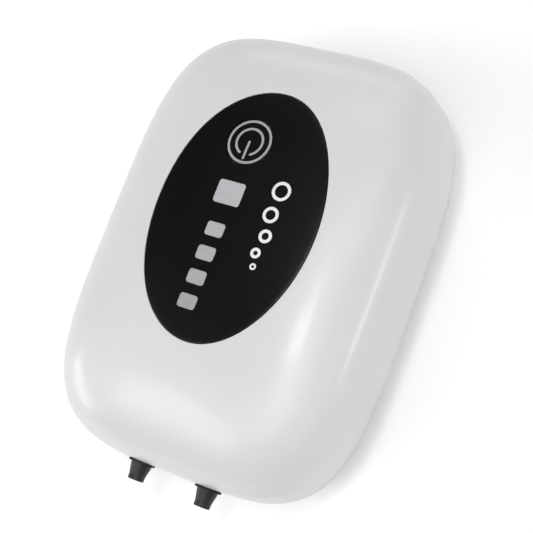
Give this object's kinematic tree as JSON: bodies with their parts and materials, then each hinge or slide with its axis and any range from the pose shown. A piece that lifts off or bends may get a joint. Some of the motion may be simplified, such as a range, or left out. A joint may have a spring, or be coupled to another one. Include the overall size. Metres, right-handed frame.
{
  "type": "aquarium air pump",
  "caption": "Battery aquarium air pump: rounded white case, black oval display with power key and charge lights, twin air outlets at one end.",
  "frame": {"origin": "at the middle of the whole pump's length and width, on the plane of the rubber feet's undersides", "axes": "+Z out of the display, +Y along the length towards the charging port, away from the two air outlets, +X to the right as the display is read"},
  "size_m": [0.082, 0.119, 0.0408],
  "materials": {
    "case_white": "gloss",
    "rear_white": "satin",
    "display_black": "gloss",
    "window_grey": "satin",
    "outlet_grey": "satin",
    "rubber_black": "matte",
    "silicone_grey": "matte",
    "board_green": "satin",
    "chip_black": "matte",
    "screw_steel": "satin",
    "port_steel": "satin",
    "core_iron": "matte",
    "magnet_nickel": "gloss",
    "coil_copper": "gloss",
    "hub_brass": "satin",
    "chassis_grey": "matte",
    "arm_white": "matte",
    "bobbin_cream": "matte",
    "valve_grey": "matte",
    "flap_orange": "matte",
    "cell_blue": "gloss",
    "wire_red": "satin",
    "wire_black": "satin",
    "felt_grey": "matte",
    "led_cream": "gloss",
    "capacitor_blue": "gloss"
  },
  "bodies": {
    "case": {"front_shell": "case_white", "rear_shell": "rear_white", "display_panel": "display_black", "tact_switch": "chassis_grey", "status_window": "window_grey", "level_windows": "window_grey", "light_shield": "arm_white", "status_leds": "led_cream", "main_board": "board_green", "board_screws": "screw_steel", "controller_chip": "chip_black", "driver_transistors": "chip_black", "storage_capacitor": "capacitor_blue", "coil_connector": "bobbin_cream", "coil_leads": "wire_red", "battery_cell": "cell_blue", "battery_holder": "chassis_grey", "battery_tabs": "port_steel", "battery_leads": "wire_red", "charge_board": "board_green", "usb_shell": "port_steel", "usb_tongue": "chip_black", "charge_leads": "wire_black", "filter_cover": "rear_white", "intake_filter": "felt_grey", "pump_chassis": "chassis_grey", "chassis_dampers": "rubber_black", "chassis_screws": "screw_steel", "iron_core": "core_iron", "core_screws": "screw_steel", "coil_bobbin": "bobbin_cream", "coil_winding": "coil_copper", "left_pivot_bush": "rubber_black", "right_pivot_bush": "rubber_black", "left_diaphragm": "rubber_black", "right_diaphragm": "rubber_black", "left_valve_body": "valve_grey", "right_valve_body": "valve_grey", "left_valve_flaps": "flap_orange", "right_valve_flaps": "flap_orange", "left_valve_cover": "valve_grey", "right_valve_cover": "valve_grey", "valve_screws": "screw_steel", "left_hose": "silicone_grey", "right_hose": "silicone_grey", "left_nozzle": "outlet_grey", "right_nozzle": "outlet_grey", "outlet_grommets": "rubber_black", "case_screws": "screw_steel", "rubber_feet": "rubber_black"},
    "left_arm_assembly": {"left_arm": "arm_white", "left_magnets": "magnet_nickel", "left_hub": "hub_brass"},
    "right_arm_assembly": {"right_arm": "arm_white", "right_magnets": "magnet_nickel", "right_hub": "hub_brass"},
    "power_key_assembly": {"power_key": "display_black", "tact_plunger": "chip_black"},
    "dust_plug": {"dust_plug": "silicone_grey"}
  },
  "joints": [
    {"name": "left_arm_swing", "type": "hinge", "parent": "case", "child": "left_arm_assembly", "pos_m": [-0.015, 0.00845, 0.0197], "axis": [0, 0, 1], "range_deg": [-1.5, 1.5], "stiffness_Nm_per_rad": 0.2, "deforming": ["left_diaphragm"]},
    {"name": "right_arm_swing", "type": "hinge", "parent": "case", "child": "right_arm_assembly", "pos_m": [0.015, 0.00845, 0.0197], "axis": [0, 0, 1], "range_deg": [-1.5, 1.5], "stiffness_Nm_per_rad": 0.2, "deforming": ["right_diaphragm"]},
    {"name": "power_key_press", "type": "slide", "parent": "case", "child": "power_key_assembly", "axis": [0, 0, -1], "range_m": [0, 0.0005], "stiffness_N_per_m": 2000, "springref_m": -0.0005},
    {"name": "dust_plug_pull", "type": "slide", "parent": "case", "child": "dust_plug", "axis": [0, 1, 0], "range_m": [0, 0.012]}
  ],
  "couplings": [
    {"joint": "right_arm_swing", "follows": "left_arm_swing", "ratio": -1}
  ]
}
